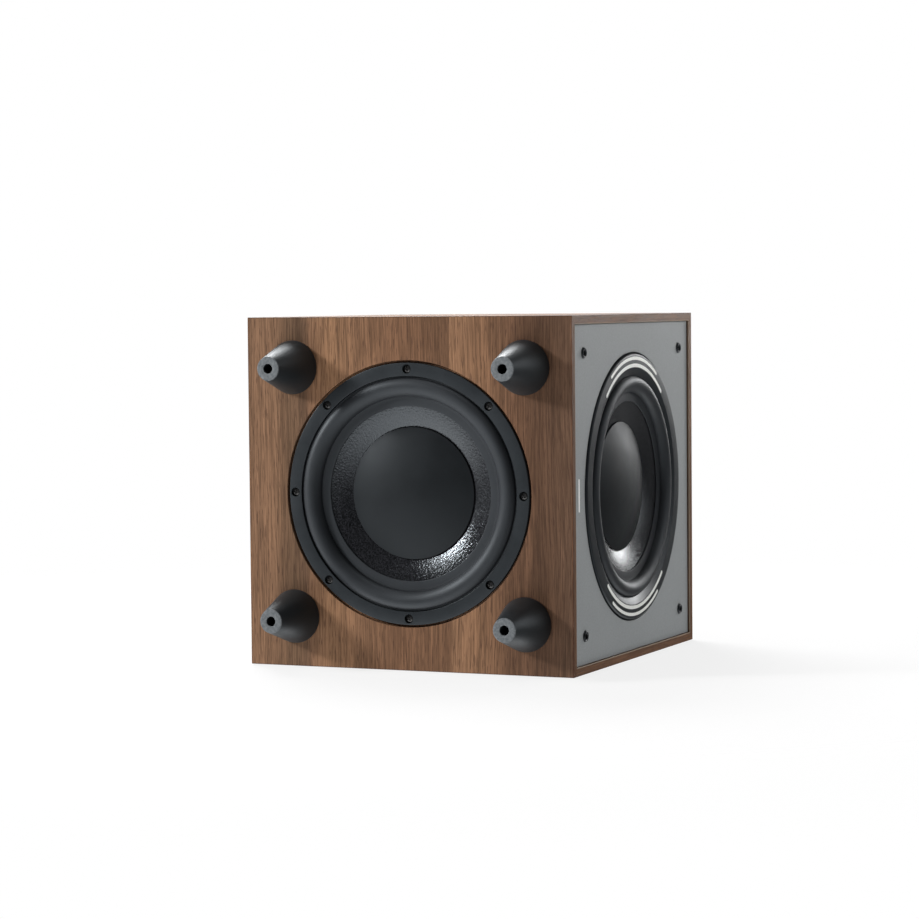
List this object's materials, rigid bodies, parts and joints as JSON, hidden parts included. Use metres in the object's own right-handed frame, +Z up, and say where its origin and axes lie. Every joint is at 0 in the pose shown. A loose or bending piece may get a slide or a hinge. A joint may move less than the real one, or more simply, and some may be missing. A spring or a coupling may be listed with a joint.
{
  "type": "powered subwoofer",
  "caption": "Cube subwoofer on cone feet with a front woofer, a passive radiator underneath and an amplifier panel at the back.",
  "frame": {"origin": "on the floor, under the middle of the cabinet, at the height of the feet's flat ends", "axes": "+Z up, -Y out of the front baffle, +Y out of the amplifier panel, +X to the right seen from the front"},
  "size_m": [0.29, 0.2916, 0.335],
  "materials": {
    "walnut_veneer": "satin walnut veneer on fibreboard",
    "grey_paint": "matte grey paint on fibreboard",
    "black_paint": "matte black paint on fibreboard",
    "fibreboard": "bare fibreboard",
    "damping_felt": "matted felt",
    "basket_steel": "satin black",
    "trim_plastic": "fine matte, dark grey",
    "surround_rubber": "satin rubber",
    "cone_paper": "coated pressed paper with a pebbled gloss",
    "cap_plastic": "matte dark grey",
    "spider_cloth": "varnished woven cloth",
    "ferrite": "dull ceramic",
    "zinc_steel": "zinc plated",
    "coil_copper": "enamelled copper",
    "frame_plastic": "fine matte, dark grey",
    "screw_black": "black oxide",
    "foot_plastic": "satin black",
    "socket_rubber": "black",
    "amp_plate_black": "black powder coat",
    "heatsink_anodised": "black anodised",
    "circuit_board": "green solder mask",
    "transformer_tape": "taped windings on a steel core",
    "knob_plastic": "satin black",
    "jack_nickel": "nickel plated",
    "led_lens": "clear blue lens",
    "lead_sheath": "dull red sheath"
  },
  "bodies": {
    "cabinet": {"top_panel": "walnut_veneer", "bottom_panel": "walnut_veneer", "left_panel": "walnut_veneer", "right_panel": "walnut_veneer", "front_baffle": "grey_paint", "back_panel": "black_paint", "brace": "fibreboard", "damping_pad_left": "damping_felt", "damping_pad_right": "damping_felt", "woofer_basket": "basket_steel", "woofer_trim_ring": "trim_plastic", "woofer_surround": "surround_rubber", "radiator_surround": "surround_rubber", "woofer_spider": "spider_cloth", "radiator_spider": "spider_cloth", "woofer_magnet": "ferrite", "woofer_top_plate": "zinc_steel", "woofer_yoke": "zinc_steel", "radiator_frame": "frame_plastic", "radiator_screw_1": "screw_black", "radiator_screw_2": "screw_black", "radiator_screw_3": "screw_black", "radiator_screw_4": "screw_black", "radiator_screw_5": "screw_black", "radiator_screw_6": "screw_black", "radiator_screw_7": "screw_black", "radiator_screw_8": "screw_black", "foot_front_left": "foot_plastic", "foot_front_right": "foot_plastic", "foot_rear_left": "foot_plastic", "foot_rear_right": "foot_plastic", "foot_screw_front_left": "screw_black", "foot_screw_front_right": "screw_black", "foot_screw_rear_left": "screw_black", "foot_screw_rear_right": "screw_black", "grille_socket_upper_left": "socket_rubber", "grille_socket_upper_right": "socket_rubber", "grille_socket_lower_left": "socket_rubber", "grille_socket_lower_right": "socket_rubber", "amp_plate": "amp_plate_black", "amp_heatsink": "heatsink_anodised", "amp_board": "circuit_board", "transformer": "transformer_tape", "rocker_frame": "knob_plastic", "mains_inlet": "knob_plastic", "rca_jack_left": "jack_nickel", "rca_jack_right": "jack_nickel", "status_led": "led_lens", "speaker_lead": "lead_sheath"},
    "woofer_mover": {"woofer_cone": "cone_paper", "woofer_dust_cap": "cap_plastic", "woofer_voice_coil": "coil_copper"},
    "radiator_mover": {"radiator_cone": "cone_paper", "radiator_dust_cap": "cap_plastic", "radiator_weight": "zinc_steel"},
    "volume_control": {"volume_knob": "knob_plastic"},
    "crossover_control": {"crossover_knob": "knob_plastic"},
    "phase_lever": {"phase_switch": "knob_plastic"},
    "mode_lever": {"mode_switch": "knob_plastic"},
    "mains_rocker": {"power_rocker": "knob_plastic"}
  },
  "joints": [
    {"name": "woofer_travel", "type": "slide", "parent": "cabinet", "child": "woofer_mover", "axis": [0, -1, 0], "range_m": [-0.008, 0.008], "stiffness_N_per_m": 1500, "deforming": ["woofer_surround", "woofer_spider"]},
    {"name": "radiator_travel", "type": "slide", "parent": "cabinet", "child": "radiator_mover", "axis": [0, 0, -1], "range_m": [-0.01, 0.01], "stiffness_N_per_m": 2500, "deforming": ["radiator_surround", "radiator_spider"]},
    {"name": "volume_turn", "type": "hinge", "parent": "cabinet", "child": "volume_control", "pos_m": [0.045, 0.1358, 0.268], "axis": [0, 1, 0], "range_deg": [-150, 150]},
    {"name": "crossover_turn", "type": "hinge", "parent": "cabinet", "child": "crossover_control", "pos_m": [0.005, 0.1358, 0.268], "axis": [0, 1, 0], "range_deg": [-150, 150]},
    {"name": "phase_slide", "type": "slide", "parent": "cabinet", "child": "phase_lever", "axis": [1, 0, 0], "range_m": [0, 0.006]},
    {"name": "mode_slide", "type": "slide", "parent": "cabinet", "child": "mode_lever", "axis": [1, 0, 0], "range_m": [0, 0.006]},
    {"name": "mains_rock", "type": "hinge", "parent": "cabinet", "child": "mains_rocker", "pos_m": [0.04, 0.1358, 0.103], "axis": [1, 0, 0], "range_deg": [-16, 0]}
  ]
}
